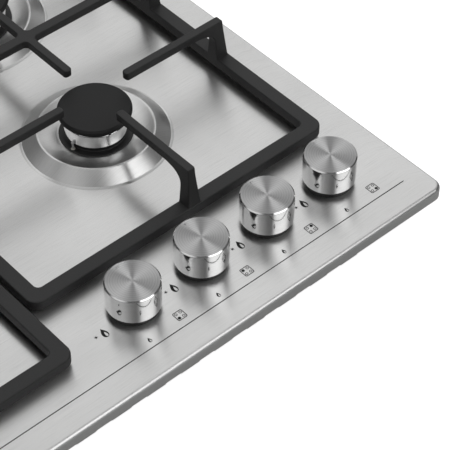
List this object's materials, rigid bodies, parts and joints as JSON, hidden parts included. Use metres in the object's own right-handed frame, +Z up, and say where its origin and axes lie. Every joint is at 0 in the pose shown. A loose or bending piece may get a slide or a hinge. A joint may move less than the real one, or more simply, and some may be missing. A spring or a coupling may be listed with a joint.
{
  "type": "built-in gas cooktop",
  "caption": "Built-in gas cooktop: brushed steel pan with pressed burner rings, cast-iron grates, capped burners and a row of metal tap knobs.",
  "frame": {"origin": "middle of the footprint, on the plane of the tray's underside", "axes": "+X to the right seen from the user's side, +Y to the back, +Z up"},
  "size_m": [0.59, 0.51, 0.08],
  "materials": {
    "brushed_pan": "hairline brushed stainless steel",
    "tray": "zinc-coated sheet",
    "zinc_steel": "zinc-plated steel",
    "cast_iron": "matte black enamel on cast iron",
    "cap_enamel": "matte black enamel",
    "crown_metal": "polished",
    "burner_body": "dark as cast",
    "knob_metal": "chromed side, spun top",
    "black_plastic": "matte black",
    "brass_parts": "turned brass",
    "pipe": "drawn tube",
    "igniter_ceramic": "glazed white",
    "seal": "matte foam rubber"
  },
  "bodies": {
    "hob": {"top_plate": "brushed_pan", "rim_seal": "seal", "bottom_tray": "tray", "gas_rail": "pipe", "gas_inlet": "brass_parts", "ignition_module": "black_plastic", "terminal_block": "black_plastic", "cable_gland": "black_plastic", "burner_holder_front_left": "burner_body", "igniter_front_left": "igniter_ceramic", "flame_sensor_front_left": "brass_parts", "knob_collar_front_left": "black_plastic", "valve_body_front_left": "brass_parts", "gas_pipe_front_left": "pipe", "burner_holder_rear_left": "burner_body", "igniter_rear_left": "igniter_ceramic", "flame_sensor_rear_left": "brass_parts", "knob_collar_rear_left": "black_plastic", "valve_body_rear_left": "brass_parts", "gas_pipe_rear_left": "pipe", "burner_holder_rear_right": "burner_body", "igniter_rear_right": "igniter_ceramic", "flame_sensor_rear_right": "brass_parts", "knob_collar_rear_right": "black_plastic", "valve_body_rear_right": "brass_parts", "gas_pipe_rear_right": "pipe", "burner_holder_front_right": "burner_body", "igniter_front_right": "igniter_ceramic", "flame_sensor_front_right": "brass_parts", "knob_collar_front_right": "black_plastic", "valve_body_front_right": "brass_parts", "gas_pipe_front_right": "pipe", "worktop_clamp_front_left": "zinc_steel", "worktop_clamp_front_right": "zinc_steel", "worktop_clamp_rear_left": "zinc_steel", "worktop_clamp_rear_right": "zinc_steel"},
    "left_grate": {"grate_left": "cast_iron"},
    "right_grate": {"grate_right": "cast_iron"},
    "plug_front_left": {"valve_plug_front_left": "brass_parts"},
    "control_front_left": {"knob_front_left": "knob_metal", "spindle_front_left": "zinc_steel"},
    "crown_front_left": {"burner_crown_front_left": "crown_metal"},
    "cap_front_left": {"burner_cap_front_left": "cap_enamel"},
    "plug_rear_left": {"valve_plug_rear_left": "brass_parts"},
    "control_rear_left": {"knob_rear_left": "knob_metal", "spindle_rear_left": "zinc_steel"},
    "crown_rear_left": {"burner_crown_rear_left": "crown_metal"},
    "cap_rear_left": {"burner_cap_rear_left": "cap_enamel"},
    "plug_rear_right": {"valve_plug_rear_right": "brass_parts"},
    "control_rear_right": {"knob_rear_right": "knob_metal", "spindle_rear_right": "zinc_steel"},
    "crown_rear_right": {"burner_crown_rear_right": "crown_metal"},
    "cap_rear_right": {"burner_cap_rear_right": "cap_enamel"},
    "plug_front_right": {"valve_plug_front_right": "brass_parts"},
    "control_front_right": {"knob_front_right": "knob_metal", "spindle_front_right": "zinc_steel"},
    "crown_front_right": {"burner_crown_front_right": "crown_metal"},
    "cap_front_right": {"burner_cap_front_right": "cap_enamel"}
  },
  "joints": [
    {"name": "lift_grate_left", "type": "slide", "parent": "hob", "child": "left_grate", "axis": [0, 0, 1], "range_m": [0, 0.06]},
    {"name": "lift_grate_right", "type": "slide", "parent": "hob", "child": "right_grate", "axis": [0, 0, 1], "range_m": [0, 0.06]},
    {"name": "turn_knob_front_left", "type": "hinge", "parent": "hob", "child": "plug_front_left", "pos_m": [0.0575, -0.197, 0.036], "axis": [0, 0, 1], "range_deg": [0, 162]},
    {"name": "push_knob_front_left", "type": "slide", "parent": "plug_front_left", "child": "control_front_left", "axis": [0, 0, -1], "range_m": [0, 0.004], "stiffness_N_per_m": 800, "springref_m": -0.004},
    {"name": "lift_crown_front_left", "type": "slide", "parent": "hob", "child": "crown_front_left", "axis": [0, 0, 1], "range_m": [0, 0.03]},
    {"name": "lift_cap_front_left", "type": "slide", "parent": "crown_front_left", "child": "cap_front_left", "axis": [0, 0, 1], "range_m": [0, 0.03]},
    {"name": "turn_knob_rear_left", "type": "hinge", "parent": "hob", "child": "plug_rear_left", "pos_m": [0.1171, -0.197, 0.036], "axis": [0, 0, 1], "range_deg": [0, 162]},
    {"name": "push_knob_rear_left", "type": "slide", "parent": "plug_rear_left", "child": "control_rear_left", "axis": [0, 0, -1], "range_m": [0, 0.004], "stiffness_N_per_m": 800, "springref_m": -0.004},
    {"name": "lift_crown_rear_left", "type": "slide", "parent": "hob", "child": "crown_rear_left", "axis": [0, 0, 1], "range_m": [0, 0.03]},
    {"name": "lift_cap_rear_left", "type": "slide", "parent": "crown_rear_left", "child": "cap_rear_left", "axis": [0, 0, 1], "range_m": [0, 0.03]},
    {"name": "turn_knob_rear_right", "type": "hinge", "parent": "hob", "child": "plug_rear_right", "pos_m": [0.1767, -0.197, 0.036], "axis": [0, 0, 1], "range_deg": [0, 162]},
    {"name": "push_knob_rear_right", "type": "slide", "parent": "plug_rear_right", "child": "control_rear_right", "axis": [0, 0, -1], "range_m": [0, 0.004], "stiffness_N_per_m": 800, "springref_m": -0.004},
    {"name": "lift_crown_rear_right", "type": "slide", "parent": "hob", "child": "crown_rear_right", "axis": [0, 0, 1], "range_m": [0, 0.03]},
    {"name": "lift_cap_rear_right", "type": "slide", "parent": "crown_rear_right", "child": "cap_rear_right", "axis": [0, 0, 1], "range_m": [0, 0.03]},
    {"name": "turn_knob_front_right", "type": "hinge", "parent": "hob", "child": "plug_front_right", "pos_m": [0.2363, -0.197, 0.036], "axis": [0, 0, 1], "range_deg": [0, 162]},
    {"name": "push_knob_front_right", "type": "slide", "parent": "plug_front_right", "child": "control_front_right", "axis": [0, 0, -1], "range_m": [0, 0.004], "stiffness_N_per_m": 800, "springref_m": -0.004},
    {"name": "lift_crown_front_right", "type": "slide", "parent": "hob", "child": "crown_front_right", "axis": [0, 0, 1], "range_m": [0, 0.03]},
    {"name": "lift_cap_front_right", "type": "slide", "parent": "crown_front_right", "child": "cap_front_right", "axis": [0, 0, 1], "range_m": [0, 0.03]}
  ]
}
